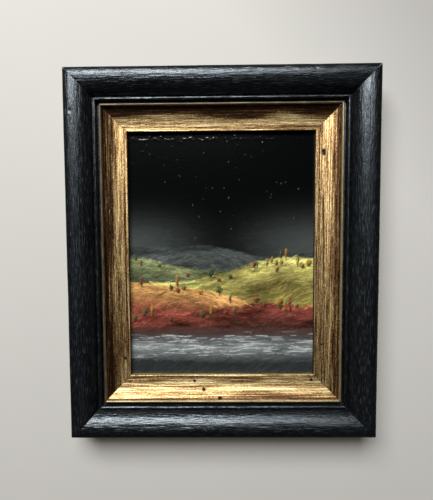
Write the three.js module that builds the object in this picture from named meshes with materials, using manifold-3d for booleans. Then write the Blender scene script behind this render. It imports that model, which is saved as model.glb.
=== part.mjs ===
// A small upright framed picture for a wall.
// A black moulding holds a gold slip, the slip holds a painted panel, and a sawtooth hanger
// on the back hooks over a nail in the wall.
//
// Millimetres, +Z up. The picture faces -Y and the wall is the plane Y = 0.
// The origin is where the wall nail meets the wall, behind the middle of the hanger's teeth.

import * as THREE from 'three';
import { mergeVertices } from 'three/addons/utils/BufferGeometryUtils.js';
import Module from 'manifold-3d';

const wasm = await Module();
wasm.setup();

// Clear space between pieces that touch
const gap = 0.3;

// Painted panel
const panelWidth = 152.4;
const panelHeight = 199;
const panelThickness = 3;
const panelPlay = 0.5; // room round the panel in the slip's rebate
const panelLap = 2.7; // width of that rebate
const sightDepth = 5; // from the slip's sight edge back to the paint

// Slip, the gold inner frame. Widths are measured inwards from the moulding's outer edge.
const slipLipStart = 24.8;
const slipLipRadius = 0.95;
const slipSight = 45.1;
const slipLipHeight = 18.9; // centre of the lip's round, above the moulding's back
const slipCoveEnd = 34.2; // where the cove eases into the flat
const slipFlatRise = 1.9; // that point above the sight edge
const slipSightHeight = 12.3;
const slipBack = 1.5;
const slipSightRound = 0.6;

// Black moulding
const sideHeight = 28; // outer side, from the back to the outer arris
const arris = 0.6; // rounding of the outer edge
const domeCrest = 6.2; // highest line of the dome; one arc rises to it and a larger one falls inwards
const domeHeight = 31; // of the crest above the back
const domeEnd = 20.1;
const domeFoot = 21.7; // height of the dome's inner end
const beadRadius = 1.2;
const beadCentre = 22.1;
const beadHeight = 21.8; // of the bead's centre above the back
const quirkDepth = 1.1; // groove between the dome and the bead, below the dome's end
const quirkBatter = 0.4;
const ledgeHeight = 16.1; // of the narrow ledge behind the bead
const mouldingSight = 24.5;
const rebateWall = 18.6;
const rebateHeight = 12.2;

// Hardware on the back
const standOff = 3; // from the moulding's back to the wall
const hangerLength = 44;
const hangerHeight = 9;
const hangerThickness = 0.9;
const hangerBridge = 30; // raised middle stretch
const hangerRamp = 2;
const hangerRaise = 1.4;
const hangerInset = 9; // teeth below the top edge of the moulding
const toothCount = 11;
const toothPitch = 2.4;
const toothDepth = 1.3;
const pinRadius = 0.7;
const pinHeadRadius = 1.9;
const pinHeadCrown = 1.3; // radius of the flat on the head
const pinHeadThickness = 0.8;
const pinLength = 10;
const pinTip = 1.5;
const pinOffset = (hangerLength + hangerBridge) / 4 + hangerRamp / 2; // middle of each flat end
const pinHeight = (hangerHeight - 2 * toothDepth) / 2; // above the teeth
const bumperRadius = 5;
const bumperInset = 9.6;

const pointWidth = 8;
const pointThickness = 0.5;
const pointInWood = 5;
const pointOnPanel = 7;
const pointTip = 3;
const pointCorner = 2;
const pointSpacing = 0.25; // either way from the middle, as a share of the sight opening's side

const wedgeLeg = 4;
const wedgeThickness = 0.6;
const wedgeDepth = 7;
const outerWedgeInsets = [5.5, 13.5];
const slipWedgeInsets = [31];

const frameWidth = panelWidth + 2 * (slipSight - panelLap + panelPlay);
const frameHeight = panelHeight + 2 * (slipSight - panelLap + panelPlay);
const panelFront = slipSightHeight - sightDepth;
const panelBack = panelFront - panelThickness;

const materials = {
  blackWood: new THREE.MeshStandardMaterial({ color: 0x1a1c1e, roughness: 0.45, metalness: 0 }),
  goldSlip: new THREE.MeshStandardMaterial({ color: 0xb8924f, roughness: 0.42, metalness: 0.7 }),
  panel: new THREE.MeshStandardMaterial({ color: 0x33352f, roughness: 0.4, metalness: 0 }),
  zincSteel: new THREE.MeshStandardMaterial({ color: 0xb9bbb8, roughness: 0.4, metalness: 0.9 }),
  darkSteel: new THREE.MeshStandardMaterial({ color: 0x6d6a64, roughness: 0.5, metalness: 0.8 }),
  felt: new THREE.MeshStandardMaterial({ color: 0x4a3a2c, roughness: 0.95, metalness: 0 }),
};

function toSolid(geometry) {
  const bare = geometry.clone();
  bare.deleteAttribute('normal');
  bare.deleteAttribute('uv');
  const merged = mergeVertices(bare, 1e-4);
  return new wasm.Manifold(new wasm.Mesh({
    numProp: 3,
    vertProperties: merged.attributes.position.array,
    triVerts: Uint32Array.from(merged.index.array),
  }));
}

function toGeometry(solid) {
  const mesh = solid.getMesh();
  const geometry = new THREE.BufferGeometry();
  geometry.setAttribute('position', new THREE.BufferAttribute(mesh.vertProperties, 3));
  geometry.setIndex(new THREE.BufferAttribute(mesh.triVerts, 1));
  geometry.computeVertexNormals();
  return geometry;
}

function cut(geometry, cutters) {
  let solid = toSolid(geometry);
  for (const cutter of cutters) solid = solid.subtract(toSolid(cutter));
  return toGeometry(solid);
}

// A section is drawn with x as the distance inwards from the moulding's outer edge and y as
// the height above its back.

function mouldingSection() {
  const rise = domeHeight - sideHeight - arris;
  const riseRadius = ((domeCrest - arris) ** 2 + rise ** 2) / (2 * rise);
  const riseFrom = Math.atan2(riseRadius - rise, arris - domeCrest);
  const fall = domeHeight - domeFoot;
  const fallRadius = ((domeEnd - domeCrest) ** 2 + fall ** 2) / (2 * fall);
  const fallTo = Math.atan2(fallRadius - fall, domeEnd - domeCrest);
  const ledgeFall = 0.2;
  const shape = new THREE.Shape();
  shape.moveTo(0, 0);
  shape.lineTo(0, sideHeight - arris);
  shape.quadraticCurveTo(0, sideHeight, arris, sideHeight + arris);
  shape.absarc(domeCrest, domeHeight - riseRadius, riseRadius, riseFrom, Math.PI / 2, true);
  shape.absarc(domeCrest, domeHeight - fallRadius, fallRadius, Math.PI / 2, fallTo, true);
  shape.lineTo(domeEnd + quirkBatter, domeFoot - quirkDepth);
  shape.lineTo(beadCentre - beadRadius, domeFoot - quirkDepth);
  shape.absarc(beadCentre, beadHeight, beadRadius, Math.PI, 0, true);
  shape.lineTo(beadCentre + beadRadius, ledgeHeight);
  shape.lineTo(mouldingSight, ledgeHeight - ledgeFall);
  shape.lineTo(mouldingSight, rebateHeight);
  shape.lineTo(rebateWall, rebateHeight);
  shape.lineTo(rebateWall, 0);
  shape.closePath();
  return shape;
}

function slipSection() {
  const lipCentre = slipLipStart + slipLipRadius;
  const lipInner = -Math.PI / 6;
  const coveStart = new THREE.Vector2(
    lipCentre + slipLipRadius * Math.cos(lipInner),
    slipLipHeight + slipLipRadius * Math.sin(lipInner),
  );
  const coveEnd = new THREE.Vector2(slipCoveEnd, slipSightHeight + slipFlatRise);
  const flatEnd = new THREE.Vector2(slipSight - slipSightRound, slipSightHeight);
  const coveFall = new THREE.Vector2(1.2, -2.4); // the cove's steep start
  const coveRun = new THREE.Vector2(4, -1.45); // and its easy end
  const flatRoll = new THREE.Vector2(-5.6, 0.2); // from there it levels out towards the sight edge
  const shape = new THREE.Shape();
  shape.moveTo(rebateWall + gap, slipBack);
  shape.lineTo(rebateWall + gap, rebateHeight - gap);
  shape.lineTo(slipLipStart, rebateHeight - gap);
  shape.lineTo(slipLipStart, slipLipHeight);
  shape.absarc(lipCentre, slipLipHeight, slipLipRadius, Math.PI, lipInner, true);
  shape.bezierCurveTo(
    coveStart.x + coveFall.x, coveStart.y + coveFall.y,
    coveEnd.x - coveRun.x, coveEnd.y - coveRun.y,
    coveEnd.x, coveEnd.y,
  );
  shape.quadraticCurveTo(flatEnd.x + flatRoll.x, flatEnd.y + flatRoll.y, flatEnd.x, flatEnd.y);
  shape.quadraticCurveTo(slipSight, slipSightHeight, slipSight, slipSightHeight - slipSightRound);
  shape.lineTo(slipSight, panelFront + gap);
  shape.lineTo(slipSight - panelLap, panelFront + gap);
  shape.lineTo(slipSight - panelLap, slipBack);
  shape.closePath();
  return shape;
}

// A rail lies along X at the top of the frame, with its back on Y = 0 and its outer edge at
// Z = halfSpan. Both ends are mitred, and half of the joint's gap is taken off each.
function railGeometry(section, length, halfSpan, curveSegments) {
  const geometry = new THREE.ExtrudeGeometry(section, { depth: 1, bevelEnabled: false, curveSegments });
  const position = geometry.attributes.position;
  for (let i = 0; i < position.count; i += 1) {
    const inset = position.getX(i);
    const height = position.getY(i);
    const side = 0.5 - position.getZ(i);
    const mitred = length - 2 * inset - gap * Math.SQRT2;
    position.setXYZ(i, side * mitred, -height, halfSpan - inset);
  }
  position.needsUpdate = true;
  geometry.computeVertexNormals();
  return geometry;
}

// Extrudes an outline drawn in the X-Z plane from the Y of its back to the Y of its front
function plate(points, backY, frontY, holes = []) {
  const shape = new THREE.Shape(points.map(([x, z]) => new THREE.Vector2(x, z)));
  shape.holes = holes;
  const depth = backY - frontY;
  const geometry = new THREE.ExtrudeGeometry(shape, { depth, bevelEnabled: false, curveSegments: 12 });
  geometry.rotateX(Math.PI / 2);
  geometry.translate(0, backY, 0);
  return geometry;
}

function box(sizeX, sizeY, sizeZ, x, y, z) {
  const geometry = new THREE.BoxGeometry(sizeX, sizeY, sizeZ);
  geometry.translate(x, y, z);
  return geometry;
}

// Corner wedge: a steel angle driven in from the back, one leg in each of the two rails.
// side is 1 at the right end of a rail and -1 at its left end, extra is the slot's clearance.
function wedgeGeometry(length, halfSpan, inset, side, backY, extra) {
  const t = wedgeThickness / 2 + extra;
  const leg = wedgeLeg + extra;
  const outline = [[t, t], [-leg, t], [-leg, -t], [-t, -t], [-t, -leg], [t, -leg]];
  const x = length / 2 - inset;
  const z = halfSpan - inset;
  const points = outline.map(([u, v]) => [side * (x + u), z + v]);
  if (side < 0) points.reverse();
  return plate(points, backY + extra, backY - wedgeDepth - extra);
}

// Flexible point: a steel tab, its tip in a slot in the slip and its tail over the panel's back
function pointGeometry(x, halfSpan) {
  const wall = halfSpan - (slipSight - panelLap);
  const w = pointWidth / 2;
  const outline = [
    [x, wall + pointInWood],
    [x - w, wall + pointInWood - pointTip],
    [x - w, wall - pointOnPanel + pointCorner],
    [x - w + pointCorner, wall - pointOnPanel],
    [x + w - pointCorner, wall - pointOnPanel],
    [x + w, wall - pointOnPanel + pointCorner],
    [x + w, wall + pointInWood - pointTip],
  ];
  const backY = -(panelBack - gap - pointThickness);
  return plate(outline, backY, backY - pointThickness);
}

function pointSlot(x, halfSpan) {
  const wall = halfSpan - (slipSight - panelLap);
  const depth = pointInWood + 2 * gap;
  const middleY = -(panelBack - gap - pointThickness / 2);
  return box(pointWidth + 2 * gap, pointThickness + 2 * gap, depth, x, middleY, wall + depth / 2 - gap);
}

// Sawtooth hanger: a bent strip cut to an outline with teeth, drawn round the origin of its
// own frame, which is the middle tooth notch at the wood's back
function hangerGeometry() {
  const flatEnd = hangerBridge / 2 + hangerRamp;
  const low = gap;
  const high = gap + hangerRaise;
  const backLine = [
    [-hangerLength / 2, low], [-flatEnd, low], [-hangerBridge / 2, high],
    [hangerBridge / 2, high], [flatEnd, low], [hangerLength / 2, low],
  ];
  const wallLine = backLine.map(([x, y]) => [x, y + hangerThickness]).reverse();
  const strip = new THREE.ExtrudeGeometry(
    new THREE.Shape([...backLine, ...wallLine].map(([x, y]) => new THREE.Vector2(x, y))),
    { depth: 2 * hangerHeight, bevelEnabled: false },
  );
  strip.translate(0, 0, -hangerHeight);

  const end = hangerLength / 2;
  const corner = 2.5; // cut off each end's corners
  const top = hangerHeight - toothDepth;
  const outline = [[end - corner, -toothDepth], [end, -toothDepth + corner], [end, top - corner],
    [end - corner, top], [-end + corner, top], [-end, top - corner],
    [-end, -toothDepth + corner], [-end + corner, -toothDepth]];
  const firstTooth = -(toothCount * toothPitch) / 2;
  for (let i = 0; i < toothCount; i += 1) {
    const x = firstTooth + i * toothPitch;
    outline.push([x, -toothDepth], [x + toothPitch / 2, 0]);
  }
  outline.push([firstTooth + toothCount * toothPitch, -toothDepth]);
  const holes = [-1, 1].map((side) => {
    const hole = new THREE.Path();
    hole.absarc(side * pinOffset, pinHeight, pinRadius + gap, 0, Math.PI * 2, true);
    return hole;
  });
  const past = 1; // the cutter runs past both faces of the strip
  const cutter = plate(outline, standOff + past, -past, holes);
  // The strip was extruded along Z with Y as its thickness, so both share the same axes
  return toGeometry(toSolid(strip).intersect(toSolid(cutter)));
}

// Pin: head, shank and tip as one turned piece along Y, its head towards the wall
function pinGeometry() {
  const headBack = gap + hangerThickness + gap;
  const profile = [
    [0, headBack + pinHeadThickness],
    [pinHeadCrown, headBack + pinHeadThickness],
    [pinHeadRadius, headBack + pinHeadThickness / 2],
    [pinHeadRadius, headBack],
    [pinRadius, headBack],
    [pinRadius, headBack - pinLength + pinTip],
    [0, headBack - pinLength],
  ];
  return new THREE.LatheGeometry(profile.reverse().map(([r, y]) => new THREE.Vector2(r, y)), 20);
}

function bumperGeometry() {
  const thickness = standOff - gap;
  const edge = 0.4; // bevel round the face that meets the wall
  const profile = [
    [0, gap], [bumperRadius, gap], [bumperRadius, gap + thickness - edge],
    [bumperRadius - edge, gap + thickness], [0, gap + thickness],
  ];
  return new THREE.LatheGeometry(profile.map(([r, y]) => new THREE.Vector2(r, y)), 32);
}

function named(name, geometry, material) {
  const mesh = new THREE.Mesh(geometry, material);
  mesh.name = name;
  return mesh;
}

// The frame group has its origin at the centre of the moulding's back
const picture = new THREE.Group();
const frame = new THREE.Group();
frame.position.set(0, -standOff, hangerInset - frameHeight / 2);
picture.add(frame);

// Each side is a rail turned about Y from the top, with the length and half span that it has
const sides = [
  { name: 'rail_top', length: frameWidth, halfSpan: frameHeight / 2 },
  { name: 'stile_right', length: frameHeight, halfSpan: frameWidth / 2 },
  { name: 'rail_bottom', length: frameWidth, halfSpan: frameHeight / 2 },
  { name: 'stile_left', length: frameHeight, halfSpan: frameWidth / 2 },
];

const hangerZ = frameHeight / 2 - hangerInset;
sides.forEach(({ name, length, halfSpan }, turn) => {
  const side = new THREE.Group();
  side.rotation.y = (turn * Math.PI) / 2;
  frame.add(side);

  const slots = (insets, backY) => insets.flatMap((inset) => (
    [-1, 1].map((end) => wedgeGeometry(length, halfSpan, inset, end, backY, gap))
  ));

  const outerCutters = slots(outerWedgeInsets, 0);
  if (turn === 0) {
    for (const end of [-1, 1]) {
      const bore = new THREE.CylinderGeometry(pinRadius + gap, pinRadius + gap, 2 * pinLength, 20);
      bore.translate(end * pinOffset, 0, hangerZ + pinHeight);
      outerCutters.push(bore);
    }
  }
  const moulding = railGeometry(mouldingSection(), length, halfSpan, 20);
  side.add(named(`outer_${name}`, cut(moulding, outerCutters), materials.blackWood));

  const pointPlaces = [-1, 1].map((end) => end * pointSpacing * (length - 2 * slipSight));
  const slipCutters = slots(slipWedgeInsets, -slipBack);
  slipCutters.push(...pointPlaces.map((x) => pointSlot(x, halfSpan)));
  const goldRail = railGeometry(slipSection(), length, halfSpan, 12);
  side.add(named(`slip_${name}`, cut(goldRail, slipCutters), materials.goldSlip));

  const [, label] = name.split('_');
  pointPlaces.forEach((x, i) => {
    side.add(named(`point_${label}_${i + 1}`, pointGeometry(x, halfSpan), materials.darkSteel));
  });

  // The right end of each side carries that corner's wedges
  outerWedgeInsets.forEach((inset, i) => {
    const wedge = wedgeGeometry(length, halfSpan, inset, 1, 0, 0);
    side.add(named(`corner_wedge_${turn + 1}_${i + 1}`, wedge, materials.darkSteel));
  });
  slipWedgeInsets.forEach((inset) => {
    const wedge = wedgeGeometry(length, halfSpan, inset, 1, -slipBack, 0);
    side.add(named(`slip_wedge_${turn + 1}`, wedge, materials.darkSteel));
  });
});

const panel = new THREE.BoxGeometry(panelWidth, panelThickness, panelHeight);
panel.translate(0, -(panelFront + panelBack) / 2, 0);
frame.add(named('painted_panel', panel, materials.panel));

const hanger = named('sawtooth_hanger', hangerGeometry(), materials.zincSteel);
hanger.position.set(0, 0, hangerZ);
frame.add(hanger);

[['left', -1], ['right', 1]].forEach(([name, end]) => {
  const pin = named(`hanger_pin_${name}`, pinGeometry(), materials.zincSteel);
  pin.position.set(end * pinOffset, 0, hangerZ + pinHeight);
  frame.add(pin);

  const bumper = named(`felt_bumper_${name}`, bumperGeometry(), materials.felt);
  bumper.position.set(end * (frameWidth / 2 - 2 * bumperInset), 0, -(frameHeight / 2 - bumperInset));
  frame.add(bumper);
});

export default picture;
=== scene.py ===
# A small framed picture on a wall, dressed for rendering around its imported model.
# Metres, +Z up. The picture faces -Y, the wall is Y = 0, the origin is the nail behind the hanger.

from math import atan2, cos, pi, radians, sin, sqrt

import bmesh
import bpy
import numpy as np
from mathutils import Matrix, Vector
from mathutils.geometry import interpolate_bezier


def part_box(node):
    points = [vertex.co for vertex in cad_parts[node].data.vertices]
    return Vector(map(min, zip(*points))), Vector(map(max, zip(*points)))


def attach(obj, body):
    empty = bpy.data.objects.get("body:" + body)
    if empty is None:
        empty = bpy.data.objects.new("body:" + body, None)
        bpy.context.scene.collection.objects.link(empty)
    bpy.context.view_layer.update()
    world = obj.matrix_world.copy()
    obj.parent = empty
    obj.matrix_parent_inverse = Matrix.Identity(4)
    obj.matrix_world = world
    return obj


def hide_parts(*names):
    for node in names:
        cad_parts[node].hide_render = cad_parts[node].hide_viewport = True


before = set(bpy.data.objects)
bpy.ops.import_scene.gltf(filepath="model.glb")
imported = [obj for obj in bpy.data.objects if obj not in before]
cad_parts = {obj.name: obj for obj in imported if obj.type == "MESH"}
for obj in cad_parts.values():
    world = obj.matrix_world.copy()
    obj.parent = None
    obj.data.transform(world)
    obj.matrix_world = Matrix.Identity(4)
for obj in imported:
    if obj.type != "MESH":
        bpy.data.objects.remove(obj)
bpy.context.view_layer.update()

mm = 0.001
sharpAngle = 40  # degrees between two faces, from which their edge shades sharp
picture = {
    "width": 238.2,
    "height": 284.8,
    "centreHeight": 9.0 - 142.4,  # the frame's middle, measured from the nail
    "back": 3.0,                  # the moulding's back stands this far off the wall
    "mitreGap": 0.28,
    "sight": 45.1,                # from the outer edge in to the gold sight edge
    "panelFront": 7.3,            # above the moulding's back
}


# Finishes

def newFinish(name, **sockets):
    finish = bpy.data.materials.new(name)
    finish.use_nodes = True
    shader = finish.node_tree.nodes["Principled BSDF"]
    for socket, value in sockets.items():
        shader.inputs[socket.replace("_", " ")].default_value = value
    return finish


def feed(finish, socket, value):
    if isinstance(value, bpy.types.NodeSocket):
        finish.node_tree.links.new(value, socket)
    else:
        socket.default_value = value


def node(finish, kind, inputs=None, **settings):
    made = finish.node_tree.nodes.new("ShaderNode" + kind)
    for key, value in settings.items():
        setattr(made, key, value)
    for key, value in (inputs or {}).items():
        feed(finish, made.inputs[key], value)
    return made


def grainCoordinates(finish):
    return node(finish, "UVMap", uv_map="grain").outputs["UV"]


def objectCoordinates(finish):
    return node(finish, "TexCoord").outputs["Object"]


# Scale gives cells per metre along each axis
def noise(finish, vector, scale, detail=3.0, rough=0.55, warp=0.0, shift=(0, 0, 0)):
    place = node(finish, "Mapping", {"Vector": vector, "Scale": scale, "Location": shift}).outputs["Vector"]
    inputs = {"Vector": place, "Scale": 1.0, "Detail": detail, "Roughness": rough, "Distortion": warp}
    return node(finish, "TexNoise", inputs).outputs["Fac"]


# Stops are a place from 0 to 1 and a colour or a plain number
def ramp(finish, factor, stops):
    made = node(finish, "ValToRGB", {"Fac": factor})
    band = made.color_ramp
    while len(band.elements) < len(stops):
        band.elements.new(0.5)
    for element, (place, value) in zip(band.elements, stops):
        element.position = place
        element.color = (*value, 1) if isinstance(value, tuple) else (value, value, value, 1)
    return made.outputs["Color"]


def mixed(finish, factor, first, second, blend="MIX"):
    made = node(finish, "Mix", data_type="RGBA", blend_type=blend)
    for index, value in ((0, factor), (6, first), (7, second)):
        feed(finish, made.inputs[index], (*value, 1) if isinstance(value, tuple) else value)
    return made.outputs[2]


def maths(finish, operation, first, second, third=0.0):
    return node(finish, "Math", {0: first, 1: second, 2: third}, operation=operation).outputs[0]


# Sum of values, each times its share
def blended(finish, *parts):
    total = 0.0
    for value, share in parts:
        total = maths(finish, "MULTIPLY_ADD", value, share, total)
    return total


def bump(finish, height, strength, distance, under=None):
    inputs = {"Height": height, "Strength": strength, "Distance": distance}
    if under is not None:
        inputs["Normal"] = under
    return node(finish, "Bump", inputs).outputs["Normal"]


def attribute(finish, name, output="Fac"):
    return node(finish, "Attribute", attribute_name=name).outputs[output]


def wear(finish, **sockets):
    shader = finish.node_tree.nodes["Principled BSDF"]
    for socket, value in sockets.items():
        feed(finish, shader.inputs[socket.replace("_", " ")], value)
    return finish


# Satin black stain over open-grained wood: the grain runs along each piece
def blackStain():
    finish = newFinish("blackStain", IOR=1.55, Specular_Tint=(0.82, 0.93, 1.0, 1.0))
    uv = grainCoordinates(finish)
    streaks = noise(finish, uv, (75, 1500, 1), detail=4, rough=0.65)
    patches = noise(finish, uv, (14, 160, 1), rough=0.6)
    glintSpeckles = noise(finish, uv, (300, 1250, 1), rough=0.6)
    pores = noise(finish, uv, (130, 1700, 1), detail=2, shift=(3, 7, 0))
    pores = ramp(finish, pores, [(0.57, 0.0), (0.63, 1.0)])
    tone = mixed(finish, patches, (0.0010, 0.0013, 0.0015), (0.0036, 0.0042, 0.0048))
    tone = mixed(finish, maths(finish, "MULTIPLY", pores, 0.7), tone, (0.0008, 0.0008, 0.0009))
    tone = mixed(finish, attribute(finish, "rubbed"), tone, (0.045, 0.047, 0.050))
    gloss = ramp(finish, blended(finish, (streaks, 0.6), (patches, 0.4)), [(0.35, 0.18), (0.65, 0.34)])
    gloss = mixed(finish, maths(finish, "MULTIPLY", pores, 0.8), gloss, (0.8, 0.8, 0.8))
    relief = bump(finish, streaks, 0.52, 0.00030)
    relief = bump(finish, pores, -0.55, 0.00030, relief)
    relief = bump(finish, glintSpeckles, 0.75, 0.00018, relief)
    return wear(finish, Base_Color=tone, Roughness=gloss, Normal=relief)


# The same wood where no stain reached it, on the back and in the rebates
def rawWood():
    finish = newFinish("rawWood", IOR=1.45)
    uv = grainCoordinates(finish)
    rings = noise(finish, uv, (10, 420, 1), detail=5, rough=0.65, warp=0.4)
    fibres = noise(finish, uv, (160, 5200, 1))
    tone = ramp(finish, rings, [(0.34, (0.29, 0.17, 0.085)), (0.5, (0.45, 0.30, 0.17)),
                                (0.66, (0.57, 0.41, 0.25))])
    tone = mixed(finish, ramp(finish, fibres, [(0.35, 0.55), (0.55, 0.0)]), tone, (0.20, 0.115, 0.06))
    tone = mixed(finish, attribute(finish, "overspill"), tone, (0.012, 0.012, 0.013))
    gloss = ramp(finish, rings, [(0.3, 0.62), (0.7, 0.78)])
    return wear(finish, Base_Color=tone, Roughness=gloss, Normal=bump(finish, fibres, 0.35, 0.00012))


# Gold leaf brushed and rubbed back in long streaks, down to its dark brown ground where worn. The same
# darkening also paints shade in the coves beside the lip, on the lip's crest and on the wall below the sight
# edge.
def rubbedGold():
    finish = newFinish("rubbedGold", IOR=1.5, Specular_IOR_Level=0.25)
    uv = grainCoordinates(finish)
    long = noise(finish, uv, (34, 1050, 1), detail=5, rough=0.72)
    fine = noise(finish, uv, (150, 1800, 1), detail=4, rough=0.7, shift=(5, 2, 0))
    dots = noise(finish, uv, (620, 1500, 1), rough=0.7)
    wearAndShade = attribute(finish, "wearAndShade")
    specksAndSightShade = attribute(finish, "specksAndSightShade")
    lip = attribute(finish, "lip")
    lay = blended(finish, (long, 0.30), (fine, 0.34), (dots, 0.36))
    streak = maths(finish, "MULTIPLY_ADD", lay, 2.3, -0.57)
    level = maths(finish, "SUBTRACT", streak, maths(finish, "MULTIPLY", wearAndShade, 0.62))
    tone = ramp(finish, level, [(0.0, (0.022, 0.010, 0.004)), (0.16, (0.075, 0.036, 0.014)),
                                (0.32, (0.22, 0.128, 0.050)), (0.46, (0.43, 0.300, 0.130)),
                                (0.62, (0.67, 0.530, 0.270)), (0.85, (0.94, 0.86, 0.57))])
    # The lip's crest takes a dark brown: handling wear, and painted shade where the moulding shades it
    lipWearAndShadeTone = ramp(finish, streak, [(0.1, (0.018, 0.014, 0.010)), (0.9, (0.075, 0.062, 0.046))])
    tone = mixed(finish, lip, tone, lipWearAndShadeTone)
    # Worm holes, specks and the painted shade below the sight edge go near black
    tone = mixed(finish, specksAndSightShade, tone, (0.005, 0.003, 0.002))
    bare = maths(finish, "MAXIMUM", specksAndSightShade, maths(finish, "MULTIPLY", lip, 0.3))
    shine = maths(finish, "MULTIPLY", 0.85, maths(finish, "SUBTRACT", 1.0, bare))
    gloss = mixed(finish, specksAndSightShade, ramp(finish, fine, [(0.35, 0.36), (0.65, 0.50)]), (0.95, 0.95, 0.95))
    relief = bump(finish, long, 0.55, 0.00022)
    relief = bump(finish, fine, 0.50, 0.00014, relief)
    relief = bump(finish, dots, 0.35, 0.00010, relief)
    return wear(finish, Base_Color=tone, Metallic=shine, Roughness=gloss, Normal=relief)


# Oil paint under varnish; the colour was laid stroke by stroke into the mesh's own attribute
def oilPaint():
    finish = newFinish("oilPaint", Specular_IOR_Level=0.16,
                       Coat_Weight=0.42, Coat_Roughness=0.07, Coat_IOR=1.5)
    place = objectCoordinates(finish)
    bristles = noise(finish, place, (420, 1, 2600))
    weave = noise(finish, place, (1900, 1, 1900), detail=2)
    pigment = attribute(finish, "pigment", "Color")
    tone = mixed(finish, 0.22, pigment, ramp(finish, weave, [(0.35, 0.35), (0.65, 0.65)]), blend="SOFT_LIGHT")
    relief = bump(finish, bristles, 0.12, 0.00006)
    relief = bump(finish, weave, 0.10, 0.00005, relief)
    gloss = ramp(finish, weave, [(0.3, 0.11), (0.7, 0.17)])
    return wear(finish, Base_Color=tone, Roughness=gloss, Normal=relief)


# Hardboard: pressed brown fibre with the woven screen's print on its back
def hardboard():
    finish = newFinish("hardboard", IOR=1.45)
    place = objectCoordinates(finish)
    fibre = noise(finish, place, (700, 700, 700), detail=5, rough=0.7)
    cloud = noise(finish, place, (28, 28, 28))
    wires = {"Vector": place, "Scale": 420.0, "Distortion": 0.6}
    warp = node(finish, "TexWave", wires, bands_direction="X").outputs["Fac"]
    weft = node(finish, "TexWave", wires, bands_direction="Z").outputs["Fac"]
    screen = maths(finish, "MULTIPLY", warp, weft)
    tone = ramp(finish, fibre, [(0.3, (0.10, 0.052, 0.024)), (0.52, (0.19, 0.105, 0.05)),
                                (0.75, (0.31, 0.19, 0.10))])
    tone = mixed(finish, ramp(finish, cloud, [(0.35, 0.35), (0.65, 0.0)]), tone, (0.085, 0.045, 0.022))
    tone = mixed(finish, maths(finish, "MULTIPLY", screen, 0.3), tone, (0.30, 0.19, 0.10))
    relief = bump(finish, screen, 0.5, 0.00018)
    relief = bump(finish, fibre, 0.25, 0.00010, relief)
    gloss = ramp(finish, fibre, [(0.3, 0.58), (0.7, 0.75)])
    return wear(finish, Base_Color=tone, Roughness=gloss, Normal=relief)


# Plated or blued steel with a faint spangle and scratches drawn one way
def plate(name, dark, light, rough, scratch):
    finish = newFinish(name, Metallic=1.0)
    place = objectCoordinates(finish)
    spangle = noise(finish, place, (420, 420, 420), rough=0.6)
    drag = noise(finish, place, (180, 2400, 4200))
    tone = ramp(finish, spangle, [(0.3, dark), (0.7, light)])
    gloss = ramp(finish, spangle, [(0.3, rough - 0.07), (0.7, rough + 0.10)])
    return wear(finish, Base_Color=tone, Roughness=gloss, Normal=bump(finish, drag, scratch, 0.00005))


def pressedFelt():
    finish = newFinish("pressedFelt", IOR=1.45, Sheen_Weight=0.5, Sheen_Roughness=0.5)
    place = objectCoordinates(finish)
    fibre = noise(finish, place, (2600, 2600, 2600), detail=4, rough=0.7, warp=0.6)
    tone = ramp(finish, fibre, [(0.3, (0.030, 0.018, 0.010)), (0.55, (0.085, 0.052, 0.030)),
                                (0.78, (0.16, 0.105, 0.065))])
    return wear(finish, Base_Color=tone, Roughness=ramp(finish, fibre, [(0.3, 0.86), (0.7, 0.98)]),
                Normal=bump(finish, fibre, 0.6, 0.00025))


finishes = {
    "blackStain": blackStain(),
    "rawWood": rawWood(),
    "rubbedGold": rubbedGold(),
    "oilPaint": oilPaint(),
    "hardboard": hardboard(),
    "zinc": plate("zinc", (0.46, 0.46, 0.45), (0.66, 0.66, 0.65), 0.34, 0.2),
    "springSteel": plate("springSteel", (0.16, 0.15, 0.14), (0.30, 0.29, 0.27), 0.42, 0.25),
    "felt": pressedFelt(),
}
print("finishes ready")


def meshFrom(bm, name):
    mesh = bpy.data.meshes.new(name)
    bm.to_mesh(mesh)
    bm.free()
    return mesh


def pieceFrom(mesh, *coats):
    piece = bpy.data.objects.new(mesh.name, mesh)
    bpy.context.collection.objects.link(piece)
    for coat in coats:
        mesh.materials.append(coat)
    return piece


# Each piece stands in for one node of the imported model
def standIn(piece, nodeName):
    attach(piece, "root")
    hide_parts(nodeName)


def vertsOf(geometry):
    return [item for item in geometry if isinstance(item, bmesh.types.BMVert)]


# Moulding and slip

# Sections are drawn in mm: inset from the moulding's outer edge, height above its back.
# Each stretch gives its points, the spacing that it is cut to and its finish.

def arc(centre, radius, start, end, steps):
    turns = [start + (end - start) * step / steps for step in range(steps + 1)]
    return [(centre[0] + radius * cos(turn), centre[1] + radius * sin(turn)) for turn in turns]


def easy(start, startPull, endPull, end, steps):
    knots = [Vector(knot) for knot in (start, startPull, endPull, end)]
    return [tuple(point[:2]) for point in interpolate_bezier(*knots, steps)]


# Near a quarter circle: both handles reach 0.55 of the way to the corner
def rounded(start, corner, end, steps=6):
    startPull = Vector(start).lerp(Vector(corner), 0.55)
    endPull = Vector(end).lerp(Vector(corner), 0.55)
    return easy(start, startPull, endPull, end, steps)


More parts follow.
